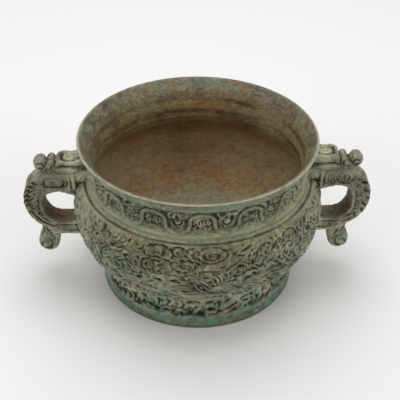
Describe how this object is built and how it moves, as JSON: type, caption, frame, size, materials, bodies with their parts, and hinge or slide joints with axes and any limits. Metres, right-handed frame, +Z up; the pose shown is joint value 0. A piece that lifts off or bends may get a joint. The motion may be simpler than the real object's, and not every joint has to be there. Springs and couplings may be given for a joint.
{
  "type": "bronze incense burner",
  "caption": "Cast bronze incense burner: a wide open bowl on a ring foot, with a flared neck, beast-head loop handles and hanging tails.",
  "frame": {"origin": "centre of the ring foot's underside", "axes": "+X towards one handle, -Y towards the front, +Z up along the axis of the bowl"},
  "size_m": [0.2836, 0.2044, 0.1335],
  "materials": {
    "bronze": "weathered, green-brown patina"
  },
  "bodies": {
    "root": {"incense_burner": "bronze"}
  },
  "joints": []
}
